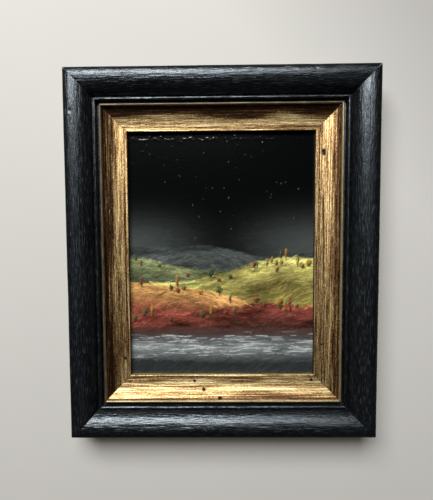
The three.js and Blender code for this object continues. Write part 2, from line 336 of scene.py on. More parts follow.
moulding = {
    "side": 28.0,
    "arris": 0.6,
    "domeCrest": 6.2,
    "domeHeight": 31.0,
    "domeEnd": 20.1,
    "domeFoot": 21.7,
    "beadRadius": 1.2,
    "beadCentre": 22.1,
    "beadHeight": 21.8,
    "quirkDepth": 1.1,
    "quirkBatter": 0.4,
    "ledge": 16.1,
    "ledgeFall": 0.2,
    "softEdge": 0.35,   # the back's edges
    "sight": 24.5,
    "rebate": 18.6,
    "rebateHeight": 12.2,
    "rings": 300,
    "seed": 11,
    "layers": [(22, 60, 1.0, 20, 0.05), (5, 20, 1.5, 3, 0.035), (2.2, 12, 0, 2, 0.022)],
    "pores": 1000,
    "poreDepth": 0.11,
    "poreMargin": 6.0,  # mm that pores reach past the dome on both sides
    "backShare": 0.4,   # of the relief is left on the sawn back
}


def mouldingSection(sizes):
    arris, side, crest, foot = sizes["arris"], sizes["side"], sizes["domeCrest"], sizes["domeFoot"]
    rise, drop = sizes["domeHeight"] - side - arris, sizes["domeHeight"] - foot
    riseRadius = ((crest - arris) ** 2 + rise ** 2) / (2 * rise)
    fallRadius = ((sizes["domeEnd"] - crest) ** 2 + drop ** 2) / (2 * drop)
    riseFrom = atan2(riseRadius - rise, arris - crest)
    fallTo = atan2(fallRadius - drop, sizes["domeEnd"] - crest)
    outward = arc((crest, sizes["domeHeight"] - riseRadius), riseRadius, riseFrom, pi / 2, 60)
    inward = arc((crest, sizes["domeHeight"] - fallRadius), fallRadius, pi / 2, fallTo, 90)
    bead = arc((sizes["beadCentre"], sizes["beadHeight"]), sizes["beadRadius"], pi, 0, 40)
    quirk = (sizes["domeEnd"] + sizes["quirkBatter"], foot - sizes["quirkDepth"])
    groove = sizes["beadCentre"] + sizes["beadRadius"]
    ledge, sight, rebate = sizes["ledge"], sizes["sight"], sizes["rebate"]
    soft, fall = sizes["softEdge"], sizes["ledgeFall"]
    ledgeEdge = rounded((sight - fall, ledge - fall), (sight, ledge - fall), (sight, ledge - 2 * fall), 3)
    return [
        ("raw", 3.0, [(rebate, sizes["rebateHeight"]), (rebate, soft)]),
        ("raw", 0.3, rounded((rebate, soft), (rebate, 0), (rebate - soft, 0))),
        ("raw", 1.2, [(rebate - soft, 0), (soft, 0)]),
        ("black", 0.15, rounded((soft, 0), (0, 0), (0, soft))),
        ("black", 0.7, [(0, soft), (0, side - arris)]),
        ("black", 0.2, rounded((0, side - arris), (0, side), (arris, side + arris))),
        ("black", 0.32, outward + inward[1:]),
        ("black", 0.25, [(sizes["domeEnd"], foot), quirk]),
        ("black", 0.2, [quirk, (bead[0][0], quirk[1])]),
        ("black", 0.25, [(bead[0][0], quirk[1]), bead[0]]),
        ("black", 0.18, bead),
        ("black", 0.3, [(groove, sizes["beadHeight"]), (groove, ledge)]),
        ("black", 0.4, [(groove, ledge), (sight - fall, ledge - fall)]),
        ("black", 0.15, ledgeEdge),
        ("black", 1.2, [(sight, ledge - 2 * fall), (sight, sizes["rebateHeight"])]),
        ("raw", 3.0, [(sight, sizes["rebateHeight"]), (rebate, sizes["rebateHeight"])]),
    ]


slip = {
    "back": 1.5,
    "outer": 18.9,
    "shoulder": 11.9,
    "lipStart": 24.8,
    "lipHeight": 18.9,
    "lipRadius": 0.95,
    "coveEnd": 34.2,
    "flatRise": 1.9,
    "sightHeight": 12.3,
    "sightRound": 0.6,
    "coveDrop": (1.2, -2.4),   # pull that shapes the cove's steep start
    "coveEase": (-4.0, 1.45),  # its easy end
    "flatRoll": (-5.6, 0.2),   # and the roll over to the sight edge
    "lap": 2.7,
    "seatGap": 0.3,
    "rubbed": [0.18, 0.40, 0.26, 0.26],      # wear all over: top, right, bottom, left
    "rubbedCove": [0.80, 0.30, 0.45, 0.60],  # more of it beside the lip: wear, and painted shade under the moulding, most on the top and left
    # how far the cove's darkening reaches, furthest on the top and left where the painted shade falls
    "rubbedReach": [8.5, 6.0, 4.5, 8.0],
    "rubbedRim": [0.35, 0.15, 0.20, 0.25],   # and along the sight edge
    # how dark the lip's crest is on each side: handling wear, and painted shade from the moulding, most on
    # the top and left
    "rubbedLip": [0.98, 0.80, 0.62, 1.00],
    "sightWall": [0.95, 0.95, 0.50, 0.95],   # painted shade on the wall below the sight edge, less on the bottom, which faces the light
    "rings": 340,
    "seed": 23,
    "layers": [(2.0, 50, 0, 2, 0.030), (3.6, 16, -0.5, 2, 0.035), (30, 70, 2.5, 5, 0.02)],
    "specks": 70,
}


def slipSection(sizes):
    lipRadius, lipInner = sizes["lipRadius"], -pi / 6
    lip = (sizes["lipStart"] + lipRadius, sizes["lipHeight"])
    coveStart = Vector((lip[0] + lipRadius * cos(lipInner), lip[1] + lipRadius * sin(lipInner)))
    coveEnd = Vector((sizes["coveEnd"], sizes["sightHeight"] + sizes["flatRise"]))
    sight, sightHeight = picture["sight"], sizes["sightHeight"]
    sightFoot = sightHeight - sizes["sightRound"]
    flatEnd = Vector((sight - sizes["sightRound"], sightHeight))
    roll = flatEnd + Vector(sizes["flatRoll"])
    seat = picture["panelFront"] + sizes["seatGap"]
    dropped, eased = coveStart + Vector(sizes["coveDrop"]), coveEnd + Vector(sizes["coveEase"])
    cove = easy(coveStart, dropped, eased, coveEnd, 50)
    return [
        ("raw", 4.0, [(sight - sizes["lap"], seat), (sight - sizes["lap"], sizes["back"])]),
        ("raw", 2.0, [(sight - sizes["lap"], sizes["back"]), (sizes["outer"], sizes["back"])]),
        ("raw", 4.0, [(sizes["outer"], sizes["back"]), (sizes["outer"], sizes["shoulder"])]),
        ("raw", 4.0, [(sizes["outer"], sizes["shoulder"]), (sizes["lipStart"], sizes["shoulder"])]),
        ("gold", 0.8, [(sizes["lipStart"], sizes["shoulder"]), (sizes["lipStart"], sizes["lipHeight"])]),
        ("gold", 0.2, arc(lip, lipRadius, pi, lipInner, 20)),
        ("gold", 0.3, cove),
        ("gold", 0.3, easy(coveEnd, coveEnd.lerp(roll, 2 / 3), flatEnd.lerp(roll, 2 / 3), flatEnd, 40)),
        ("gold", 0.15, rounded(flatEnd, (sight, sightHeight), (sight, sightFoot))),
        ("gold", 0.5, [(sight, sightFoot), (sight, seat)]),
        ("raw", 1.5, [(sight, seat), (sight - sizes["lap"], seat)]),
    ]


# Cuts each stretch to its spacing and walks the closed outline once
def outlineOf(section):
    points, reach, kinds, starts = [], [], [], []
    travelled = 0.0
    for kind, spacing, stretch in section:
        starts.append(travelled)
        line = np.array(stretch, dtype=float)
        lengths = np.hypot(*np.diff(line, axis=0).T)
        total = lengths.sum()
        steps = max(1, round(total / spacing))
        marks = np.linspace(0, total, steps + 1)[:-1]
        at = np.concatenate([[0], np.cumsum(lengths)])
        for mark in marks:
            points.append((np.interp(mark, at, line[:, 0]), np.interp(mark, at, line[:, 1])))
            reach.append(travelled + mark)
            kinds.append(kind)
        travelled += total
    starts.append(travelled)
    return points, reach, kinds, starts


# Whole cells and the eased share of the next one, for each of count steps
def cellShares(count, cell):
    at = np.arange(count) / cell
    whole = at.astype(int)
    share = at - whole
    return whole, share * share * (3 - 2 * share)


# Smooth random field, stretched: cell sizes are in rows and columns
def softField(random, rows, columns, rowCell, columnCell):
    coarse = random.normal(size=(int(rows / rowCell) + 3, int(columns / columnCell) + 3))
    row, rowShare = cellShares(rows, rowCell)
    column, columnShare = cellShares(columns, columnCell)
    left, right = 1 - columnShare[None, :], columnShare[None, :]
    near = coarse[np.ix_(row, column)] * left + coarse[np.ix_(row, column + 1)] * right
    far = coarse[np.ix_(row + 1, column)] * left + coarse[np.ix_(row + 1, column + 1)] * right
    return near * (1 - rowShare[:, None]) + far * rowShare[:, None]


# Raises the field to a rounded spot, depth high in its middle at row and column
def stamp(field, row, column, halfRows, halfColumns, depth, power=1.0):
    rows = slice(max(0, int(row - halfRows)), min(field.shape[0], int(row + halfRows) + 2))
    columns = slice(max(0, int(column - halfColumns)), min(field.shape[1], int(column + halfColumns) + 2))
    if rows.start >= rows.stop or columns.start >= columns.stop:
        return
    up = (np.arange(rows.start, rows.stop) - row)[:, None] / max(halfRows, 0.5)
    aside = (np.arange(columns.start, columns.stop) - column)[None, :] / max(halfColumns, 0.5)
    shape = np.clip(1 - (aside * aside + up * up) ** power, 0, 1) * depth
    field[rows, columns] = np.maximum(field[rows, columns], shape)


# A field's values between its rows and columns
def sampled(field, row, column):
    row = np.clip(row, 0, field.shape[0] - 1.001)
    column = np.clip(column, 0, field.shape[1] - 1.001)
    below, left = row.astype(int), column.astype(int)
    rowShare, columnShare = row - below, column - left
    near = field[below, left] * (1 - columnShare) + field[below, left + 1] * columnShare
    far = field[below + 1, left] * (1 - columnShare) + field[below + 1, left + 1] * columnShare
    return near * (1 - rowShare) + far * rowShare


rowMm = 0.15     # fields are kept at this spacing across the section
columnMm = 0.6   # and this one along the rail


# A straight prism of the section: one face, pulled out to unit length and cut into rings
def prism(points, reach, rings):
    bm = bmesh.new()
    across = bm.verts.layers.float.new("across")
    corners = [bm.verts.new((-0.5, -height, -inset)) for inset, height in points]
    for vert, distance in zip(corners, reach):
        vert[across] = distance
    face = bm.faces.new(corners)
    pulled = bmesh.ops.extrude_face_region(bm, geom=[face])["geom"]
    bmesh.ops.translate(bm, vec=(1, 0, 0), verts=vertsOf(pulled))
    lengthwise = [e for e in bm.edges if abs(e.verts[0].co.x - e.verts[1].co.x) > 0.5]
    bmesh.ops.subdivide_edges(bm, edges=lengthwise, cuts=rings - 1, use_grid_fill=True)
    bmesh.ops.recalc_face_normals(bm, faces=bm.faces)
    return bm


def numbersOf(items, key, width):
    values = np.empty(len(items) * width, dtype=np.float32)
    items.foreach_get(key, values)
    return values.reshape(-1, width) if width > 1 else values


# Turn counts quarter turns from the top rail. The relief is pressed in while the prism is straight,
# then its ends are mitred and it is turned into place.
def makeRail(name, section, settings, turn, reliefOf, marks):
    length = picture["width"] if turn % 2 == 0 else picture["height"]
    halfSpan = (picture["height"] if turn % 2 == 0 else picture["width"]) / 2
    points, reach, kinds, starts = outlineOf(section)
    mesh = meshFrom(prism(points, reach, settings["rings"]), name)

    place = numbersOf(mesh.vertices, "co", 3)
    facing = numbersOf(mesh.vertices, "normal", 3)
    across = numbersOf(mesh.attributes["across"].data, "value", 1)
    facing[:, 0] = 0
    facing /= np.maximum(np.linalg.norm(facing, axis=1, keepdims=True), 1e-6)
    along = place[:, 0] * (length + 2 * place[:, 2])
    column = (along + length / 2) / columnMm
    row = across / rowMm
    fields = reliefOf(settings, turn, length, starts)
    place[:, 1:] -= facing[:, 1:] * sampled(fields["depth"], row, column)[:, None]
    gapShare = picture["mitreGap"] * sqrt(2)
    x = place[:, 0] * (length + 2 * place[:, 2] - gapShare)
    z = halfSpan + place[:, 2]
    y = place[:, 1]
    angle = turn * pi / 2
    world = np.stack([x * cos(angle) + z * sin(angle), y - picture["back"],
                      -x * sin(angle) + z * cos(angle) + picture["centreHeight"]], axis=1) * mm
    mesh.vertices.foreach_set("co", world.astype(np.float32).ravel())

    corners = numbersOf(mesh.loops, "vertex_index", 1).astype(int)
    grain = np.stack([along + turn * 1000, across], axis=1) * mm
    uv = mesh.uv_layers.new(name="grain")
    uv.data.foreach_set("uv", grain[corners].astype(np.float32).ravel())
    for mark in marks:
        layer = mesh.attributes.new(mark, "FLOAT", "POINT")
        layer.data.foreach_set("value", sampled(fields[mark], row, column).astype(np.float32))
    mesh.attributes.remove(mesh.attributes["across"])

    # Faces take their finish from the stretch that they lie in. The face that closes the outline
    # spans nearly all of it, and the two cut ends are raw wood.
    perimeter = starts[-1]
    isRaw = np.array([kind == "raw" for kind in kinds])
    firstCorner = numbersOf(mesh.polygons, "loop_start", 1).astype(int)
    cornerCount = numbersOf(mesh.polygons, "loop_total", 1)
    spots = across[corners]
    closes = np.maximum.reduceat(spots, firstCorner) - np.minimum.reduceat(spots, firstCorner) > perimeter / 2
    middles = np.where(closes, perimeter - 0.01, np.add.reduceat(spots, firstCorner) / cornerCount)
    stretch = np.clip(np.searchsorted(reach + [perimeter], middles) - 1, 0, len(kinds) - 1)
    slots = isRaw[stretch].astype(np.int32)
    slots[cornerCount > 4] = 1
    mesh.polygons.foreach_set("material_index", slots)
    mesh.update()
    return mesh


def shadeBySharpness(thing, limit):
    thing.data.shade_smooth()
    bm = bmesh.new()
    bm.from_mesh(thing.data)
    for edge in bm.edges:
        edge.smooth = edge.calc_face_angle(0) < radians(limit)
    bm.to_mesh(thing.data)
    bm.free()


# Low relief in layers: cell sizes across and along, lift, the most that is kept, and mm
def unevenness(random, rows, columns, layers):
    depth = np.zeros((rows, columns))
    for rowCell, columnCell, lift, most, size in layers:
        depth += np.clip(softField(random, rows, columns, rowCell, columnCell) + lift, 0, most) * size
    return depth


# Knocks in the black face: turn, mm clockwise along the rail, mm from the arris, size, depth
dents = [
    (0, 189.0, 4.5, 1.5, 0.35),
    (1, 83.0, 3.0, 1.1, 0.30),
    (1, 146.0, 3.5, 0.9, 0.22),
    (3, 252.0, 6.0, 1.6, 0.35),
    (2, 60.0, 9.0, 0.9, 0.20),
]


# Starts holds how far round the outline each stretch of the section begins
def blackRelief(look, turn, length, starts):
    random = np.random.default_rng(look["seed"] + turn)
    rows, columns = int(starts[-1] / rowMm) + 3, int(length / columnMm) + 3
    backEnd, sideEnd, domeEnd = starts[3], starts[6], starts[7]
    depth = np.zeros((rows, columns))
    for i in range(look["pores"]):
        where = random.uniform(sideEnd - look["poreMargin"], domeEnd + look["poreMargin"]) / rowMm
        size = random.uniform(0.5, 1.0)
        stamp(depth, where, random.uniform(0, columns), random.uniform(1.5, 2.8), random.uniform(2, 11),
              look["poreDepth"] * size)
    rubbed = np.zeros_like(depth)
    for rail, at, fromArris, size, deep in dents:
        if rail == turn:
            row, column = (sideEnd + fromArris) / rowMm, at / columnMm
            stamp(depth, row, column, size * 0.8 / rowMm, size * 1.3 / columnMm, deep, 0.8)
            stamp(rubbed, row, column, size * 0.7 / rowMm, size * 1.2 / columnMm, 0.35)
    depth += unevenness(random, rows, columns, look["layers"])
    edge = np.arange(rows)[:, None] * rowMm
    arris = np.exp(-((edge - sideEnd) / 0.5) ** 2)
    rubbed += arris * np.clip(softField(random, rows, columns, 4, 12) - 0.6, 0, 1) * 0.5
    # Stain ran unevenly round the edge onto the raw back
    reachIn = 0.8 + 0.35 * softField(random, 3, columns, 3, 9)[:1]
    reachIn = reachIn + 0.2 * softField(random, 3, columns, 3, 3)[:1]
    spill = np.clip((edge - (backEnd - reachIn)) / 0.9, 0, 1) * 0.85
    depth[: int(backEnd / rowMm)] *= look["backShare"]
    return {"depth": depth, "rubbed": np.clip(rubbed, 0, 1), "overspill": spill}


# Worm holes and knocks in the gold: turn, mm clockwise along the rail, mm from the lip's crest, radius
wormHoles = [
    (1, 61.0, 16.0, 0.75),
    (1, 63.5, 15.5, 0.60),
    (1, 215.0, 16.2, 0.55),
    (1, 195.0, 2.2, 0.50),
    (1, 239.0, 3.0, 0.70),
    (3, 59.0, 17.5, 0.80),
    (2, 121.0, 3.6, 0.80),
    (2, 134.0, 10.5, 0.65),
    (2, 141.5, 17.2, 0.60),
    (2, 47.0, 17.8, 0.70),
    (0, 98.0, 9.0, 0.50),
    (3, 180.0, 8.0, 0.50),
]


def goldRelief(look, turn, length, starts):
    random = np.random.default_rng(look["seed"] + turn)
    rows, columns = int(starts[-1] / rowMm) + 3, int(length / columnMm) + 3
    lip, cove, sight, sightWall = starts[5], starts[6], starts[8], starts[9]
    depth = unevenness(random, rows, columns, look["layers"])
    edge = np.arange(rows)[:, None] * rowMm
    wearAndShade = look["rubbed"][turn] + 0.20 * softField(random, rows, columns, 4, 60)
    wearAndShade += 0.14 * softField(random, rows, columns, 2, 22)
    reach = look["rubbedReach"][turn] + 1.2 * softField(random, rows, columns, 400, 40)
    # A band beside the lip, darkened for wear and for painted shade under the moulding's edge
    groove = 1 / (1 + np.exp((edge - (cove + reach)) / 1.1))
    rim = np.exp(-((edge - (sight - 2.0)) / 1.3) ** 2)
    wearAndShade = wearAndShade + look["rubbedCove"][turn] * groove + look["rubbedRim"][turn] * rim
    wearAndShade *= np.clip((edge - cove) / 0.6, 0, 1)
    # The lip's crest, darkened for wear and for painted shade, set per side
    crest = np.exp(-((edge - (lip + 1.4)) / 1.5) ** 4)
    crest = crest * (0.97 + 0.05 * softField(random, rows, columns, 6, 10)) * look["rubbedLip"][turn]
    specksAndSightShade = np.zeros((rows, columns))
    for i in range(look["specks"]):
        row = random.uniform(cove + 1, sight - 1) / rowMm
        stamp(specksAndSightShade, row, random.uniform(0, columns), random.uniform(0.8, 1.8),
              random.uniform(0.6, 1.6), random.uniform(0.4, 0.9))
    # Painted shade on the slip's inner wall below the sight edge
    specksAndSightShade[int((sightWall + 0.3) / rowMm):] = look["sightWall"][turn]
    for rail, at, fromLip, radius in wormHoles:
        if rail == turn:
            row, column = (lip + 1.5 + fromLip) / rowMm, at / columnMm
            stamp(specksAndSightShade, row, column, radius * 2.3 / rowMm, radius * 2.3 / columnMm, 4.0)
            stamp(depth, row, column, radius * 1.3 / rowMm, radius * 1.3 / columnMm, 0.45)
    return {"depth": depth, "wearAndShade": np.clip(wearAndShade, 0, 1.3),
            "specksAndSightShade": np.clip(specksAndSightShade, 0, 1), "lip": np.clip(crest, 0, 1)}


# Black and gold rails: settings, section, relief and marks, then names, finish and slot
railKinds = [
    (moulding, mouldingSection, blackRelief, ("rubbed", "overspill"),
     "moulding", "outer_", "blackStain", "black_wood"),
    (slip, slipSection, goldRelief, ("wearAndShade", "specksAndSightShade", "lip"),
     "slip", "slip_", "rubbedGold", "gold_slip"),
]
sides = {"Top": "rail_top", "Right": "stile_right", "Bottom": "rail_bottom", "Left": "stile_left"}

for turn, (label, side) in enumerate(sides.items()):
    for settings, sectionOf, reliefOf, marks, name, nodeStart, coat, slotName in railKinds:
        mesh = makeRail(name + label, sectionOf(settings), settings, turn, reliefOf, marks)
        rail = pieceFrom(mesh, finishes[coat], finishes["rawWood"])
        shadeBySharpness(rail, sharpAngle)
        standIn(rail, nodeStart + side)
        print(name + label, len(mesh.polygons))


# Painted panel

# A generic evening landscape, laid as thousands of brush strokes into a colour and a height field.
# Places are shares of the panel's width and height, measured from its lower left corner.
painting = {
    "cell": 0.6,        # mm between the mesh's points
    "fine": 0.3,        # mm between the fields' points
    "thickest": 0.22,   # mm of paint
    "seed": 5,
    "strokes": 9000,
    "broadShare": 0.3,
    "water": 0.195,
    "bank": 0.062,
    "mist": 0.53,
    "streaks": 1500,
    "ripples": 190,
    "trees": 46,
    "glintSpeckles": 45,
    "glints": 160,
    "ridgeStrokes": 150,
    "ridgeDrop": 8.0,   # mm from the panel's top down to a ridge of thick paint
    "night": (0.0011, 0.0013, 0.0012),
    "glow": (0.036, 0.041, 0.038),
    "waterFar": (0.050, 0.022, 0.016),
    "waterNear": (0.030, 0.034, 0.034),
    "shine": (0.085, 0.090, 0.088),
    "bankTone": (0.017, 0.020, 0.019),
    "rippleTone": (0.36, 0.375, 0.365),
    "paintedGlintTone": (0.15, 0.16, 0.11),
}

# Each hill: its mean height, then rate, shift and size of two waves, then colour at the crest and below
hills = [
    (0.515, (5.0, 0.4, 0.022), (13, 2.0, 0.008), (0.026, 0.031, 0.030), (0.052, 0.060, 0.056)),
    (0.470, (4.1, 2.6, 0.034), (11, 0.3, 0.008), (0.100, 0.110, 0.046), (0.042, 0.050, 0.030)),
    (0.430, (3.3, 4.6, 0.056), (9, 1.1, 0.008), (0.46, 0.42, 0.120), (0.15, 0.125, 0.034)),
    (0.345, (3.9, 1.5, 0.050), (8, 3.9, 0.010), (0.34, 0.190, 0.060), (0.110, 0.030, 0.018)),
    (0.265, (3.0, 5.4, 0.030), (10, 0.9, 0.007), (0.150, 0.032, 0.022), (0.028, 0.012, 0.010)),
]
treeTones = [(0.030, 0.042, 0.018), (0.100, 0.030, 0.014), (0.075, 0.070, 0.022), (0.16, 0.085, 0.020)]


def wave(across, rate, shift, size):
    return size * np.sin(across * rate + shift)


# One stroke: a leaf-shaped patch with bristle lines, raised most along its edges
def brush(fields, random, row, column, length, breadth, tilt, hue, body, thick):
    paint, height = fields
    reach = int(length + breadth) + 1
    rows = slice(max(0, int(row) - reach), min(height.shape[0], int(row) + reach))
    columns = slice(max(0, int(column) - reach), min(height.shape[1], int(column) + reach))
    up = (np.arange(rows.start, rows.stop) - row)[:, None]
    aside = (np.arange(columns.start, columns.stop) - column)[None, :]
    ahead = (aside * cos(tilt) + up * sin(tilt)) / length
    across = (-aside * sin(tilt) + up * cos(tilt)) / breadth + ahead * ahead * random.normal(0, 0.45)
    shape = np.clip(1 - ahead * ahead, 0, 1) * np.clip(1 - across * across, 0, 1)
    bristle = 0.75 + 0.25 * np.sin(across * random.uniform(5, 9) + random.uniform(0, 6))
    cover = np.clip(shape * 2.2, 0, 1) * bristle * body
    window = paint[rows, columns]
    paint[rows, columns] = window + (np.array(hue) - window) * cover[..., None]
    raised = np.clip(shape * 1.6, 0, 1) * (0.55 + 0.45 * abs(across)) * bristle * thick
    height[rows, columns] = np.maximum(height[rows, columns] * (1 - 0.5 * cover), raised)


# The ground colours, the way that strokes lie, how thick they are and how much they vary
def landscape(look, random, columns, rows):
    across = np.linspace(0, 1, columns)[None, :] * np.ones((rows, 1))
    up = np.linspace(0, 1, rows)[:, None] * np.ones((1, columns))
    glow = np.exp(-((up - look["mist"]) / 0.105) ** 2) * (0.55 + 0.45 * np.cos(across * 6.3))
    colour = glow[..., None] * np.array(look["glow"]) + np.array(look["night"])
    tilt, thick, vary = np.zeros_like(across), np.full_like(across, 0.08), np.full_like(across, 0.06)
    clouds = softField(random, rows, columns, 34, 70) + 0.5 * softField(random, rows, columns, 12, 26)
    for mean, first, second, high, low in hills:
        crest = mean + wave(across, *first) + wave(across, *second)
        inside = up < crest
        depth = crest - up
        fall = np.clip(depth / 0.10, 0, 1)[..., None] ** 0.8
        slope = np.gradient(crest, axis=1) * rows
        furrow = np.sin(depth * 210 + across * 5) * np.clip(1 - depth / 0.12, 0, 1)
        shade = np.clip(1 + 0.30 * clouds - 0.9 * slope + 0.22 * furrow, 0.25, 2.2)[..., None]
        ground = (np.array(high) * (1 - fall) + np.array(low) * fall) * shade
        colour = np.where(inside[..., None], ground, colour)
        lean = np.arctan(slope) + 0.5 * np.clip(depth / 0.1, 0, 1) * np.sin(across * 9)
        tilt = np.where(inside, lean, tilt)
        thick = np.where(inside, 1.0, thick)
        vary = np.where(inside, 0.8, vary)
    wet = up < look["water"] + wave(across, 2.4, 0.5, 0.008)
    below = np.clip((look["water"] - up) / 0.05, 0, 1)[..., None]
    shine = np.clip(1 - abs(up - 0.115) / 0.055, 0, 1)[..., None] * (1 + 0.3 * clouds[..., None])
    mirrored = np.array(look["waterFar"]) * (1 - below) + np.array(look["waterNear"]) * below
    water = mirrored + np.clip(shine, 0, 2) * np.array(look["shine"])
    colour = np.where(wet[..., None], water, colour)
    bank = up < look["bank"] + wave(across, 4.0, 1.9, 0.010)
    colour = np.where(bank[..., None], np.array(look["bankTone"]), colour)
    tilt = np.where(bank, 0.6, np.where(wet, 0.03, tilt))
    thick = np.where(bank, 0.5, np.where(wet, 0.6, thick))
    vary = np.where(wet, 0.5, vary)
    return colour, tilt, thick, vary


# Round-headed trees and bushes, larger on the nearer hills, each with a lit and a dark side
def plantTrees(look, fields, random, columns, rows):
    for i in range(look["trees"]):
        near = 1 + i * 4 // look["trees"]
        mean, first, second = hills[near][:3]
        across = random.uniform(0.02, 0.98)
        foot = (mean + wave(across, *first) + wave(across, *second) - random.uniform(0.002, 0.035)) * rows
        wide = random.uniform(2.5, 5.0) + near * random.uniform(0.6, 1.8)
        slim = 0.45 if i % 3 == 0 else 1.0
        tall = wide * random.uniform(0.7, 1.4) / slim ** 0.5
        wide = wide * slim
        tone = np.array(treeTones[int(random.integers(len(treeTones)))])
        brush(fields, random, foot, across * columns + wide * 0.8, wide * 1.6, 1.6, -0.2,
              tone * 0.25, 0.8, 0.6)
        brush(fields, random, foot + tall * 0.4, across * columns, tall, 1.1, pi / 2, tone * 0.4, 0.9, 0.6)
        for dab in range(int(14 + wide * tall * 0.8)):
            away, turn = sqrt(random.uniform(0, 1)), random.uniform(0, 2 * pi)
            aside, up = away * cos(turn), away * sin(turn)
            light = np.clip(0.9 + 0.9 * (up - aside), 0.25, 2.4) * random.uniform(0.7, 1.3)
            hue = np.clip(tone * light, 0.002, 0.6)
            brush(fields, random, foot + tall * (1.2 + up), across * columns + wide * aside,
                  random.uniform(1.5, 2.8), random.uniform(1.0, 1.8), random.uniform(0, pi), hue, 0.9, 0.9)


# Thin strokes over the hills, each lighter or darker than the hill beneath it
def streakHills(look, fields, random, colour, tilt, thick):
    rows, columns = tilt.shape
    for i in range(look["streaks"]):
        row = int(random.uniform(look["water"] + 0.01, 0.50) * rows)
        column = int(random.uniform(0, columns))
        if thick[row, column] < 1:
            continue
        light = random.uniform(1.5, 2.4) if random.uniform(0, 1) < 0.55 else random.uniform(0.25, 0.6)
        hue = np.clip(colour[row, column] * light + (0.01, 0.008, 0.003), 0.001, 0.8)
        brush(fields, random, row, column, random.uniform(5, 20), random.uniform(0.7, 1.2),
              tilt[row, column] + random.normal(0, 0.3), hue, 0.85, random.uniform(0.6, 1.0))


def paintedFields(look, width, height):
    random = np.random.default_rng(look["seed"])
    columns, rows = int(width / look["fine"]) + 2, int(height / look["fine"]) + 2
    colour, tilt, thick, vary = landscape(look, random, columns, rows)
    fields = colour.copy(), np.zeros((rows, columns))
    for i in range(look["strokes"]):
        row, column = int(random.uniform(0, rows)), int(random.uniform(0, columns))
        broad = i < look["strokes"] * look["broadShare"]
        length = random.uniform(14, 34) if broad else random.uniform(4, 14)
        breadth = random.uniform(2.2, 4.5) if broad else random.uniform(0.9, 2.0)
        loose = vary[row, column]
        light = np.exp(random.normal(0, 0.05 + 0.32 * loose))
        shift = 1 + random.normal(0, 0.01 + 0.08 * loose * loose, 3)
        hue = np.clip(colour[row, column] * light * shift, 0.001, 0.9)
        lean = tilt[row, column] + random.normal(0, 0.18)
        brush(fields, random, row, column, length, breadth, lean, hue,
              0.85 if broad else 0.9, thick[row, column] * random.uniform(0.4, 1.0))
    streakHills(look, fields, random, colour, tilt, thick)
    plantTrees(look, fields, random, columns, rows)
    for i in range(look["ripples"]):
        pale = np.array(look["rippleTone"]) * random.uniform(0.2, 1.3)
        row = random.triangular(look["bank"] + 0.012, 0.112, look["water"] - 0.012) * rows
        brush(fields, random, row, random.uniform(0, columns), random.uniform(6, 48),
              random.uniform(0.7, 1.6), random.normal(0, 0.07), pale, 0.8, 0.8)
    # Pale dots painted into the sky's colour: painted glints on the paint's texture
    for i in range(look["glintSpeckles"]):
        pale = np.array(look["paintedGlintTone"]) * random.uniform(0.2, 1.2)
        brush(fields, random, rows * random.uniform(0.56, 0.97), random.uniform(0, columns),
              random.uniform(0.9, 1.8), random.uniform(0.8, 1.3), random.uniform(0, pi), pale, 0.8, 0.9)
    # Specks and a broken ridge of thick paint catch the light in the dark sky
    for i in range(look["glints"]):
        row = rows * random.uniform(0.55, 0.985)
        stamp(fields[1], row, random.uniform(0, columns) * random.uniform(0.3, 1),
              random.uniform(1.2, 2.2), random.uniform(1.2, 2.6), random.uniform(0.4, 1.0))
    for i in range(look["ridgeStrokes"]):
        drop = look["ridgeDrop"] + random.normal(0, 0.7)
        stamp(fields[1], rows - drop / look["fine"], random.uniform(0, columns), random.uniform(1.0, 1.7),
              random.uniform(1.5, 9), random.uniform(0.25, 0.7))
    return fields


def paintedPanel(look):
    low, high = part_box("painted_panel")
    width, height = (high.x - low.x) / mm, (high.z - low.z) / mm
    paint, relief = paintedFields(look, width, height)
    bm = bmesh.new()
    across, up = round(width / look["cell"]), round(height / look["cell"])
    bmesh.ops.create_grid(bm, x_segments=across, y_segments=up, size=0.5)
    upright = Matrix.Rotation(pi / 2, 4, "X") @ Matrix.Diagonal((width, height, 1, 1))
    bmesh.ops.transform(bm, verts=bm.verts, matrix=upright)
    bmesh.ops.recalc_face_normals(bm, faces=bm.faces)
    rim = [e for e in bm.edges if e.is_boundary]
    pulled = bmesh.ops.extrude_edge_only(bm, edges=rim)["geom"]
    thickness = (high.y - low.y) / mm
    bmesh.ops.translate(bm, vec=(0, thickness, 0), verts=vertsOf(pulled))
    bmesh.ops.contextual_create(bm, geom=[e for e in bm.edges if e.is_boundary])
    bmesh.ops.recalc_face_normals(bm, faces=bm.faces)
    for face in bm.faces:
        face.smooth = abs(face.normal.y) > 0.5
        face.material_index = 0 if face.smooth and face.calc_center_median().y < 0.001 else 1
    for edge in bm.edges:
        edge.smooth = edge.calc_face_angle(0) < radians(sharpAngle)
    mesh = meshFrom(bm, "paintedPanel")

    place = numbersOf(mesh.vertices, "co", 3)
    row = (place[:, 2] + height / 2) / look["fine"]
    column = (place[:, 0] + width / 2) / look["fine"]
    isFront = place[:, 1] < 0.001
    deep = look["thickest"] * (1 - sampled(relief, row, column))
    place[:, 1] += np.where(isFront, deep, 0)
    pigment = np.ones((len(place), 4), dtype=np.float32)
    for channel in range(3):
        pigment[:, channel] = sampled(paint[..., channel], row, column)
    layer = mesh.attributes.new("pigment", "FLOAT_COLOR", "POINT")
    layer.data.foreach_set("color", pigment.ravel())
    place *= mm
    place += np.array([0, low.y, (low.z + high.z) / 2])
    mesh.vertices.foreach_set("co", place.astype(np.float32).ravel())
    mesh.update()
    standIn(pieceFrom(mesh, finishes["oilPaint"], finishes["hardboard"]), "painted_panel")
    print("paintedPanel", len(mesh.polygons))


paintedPanel(painting)


# Hardware on the back

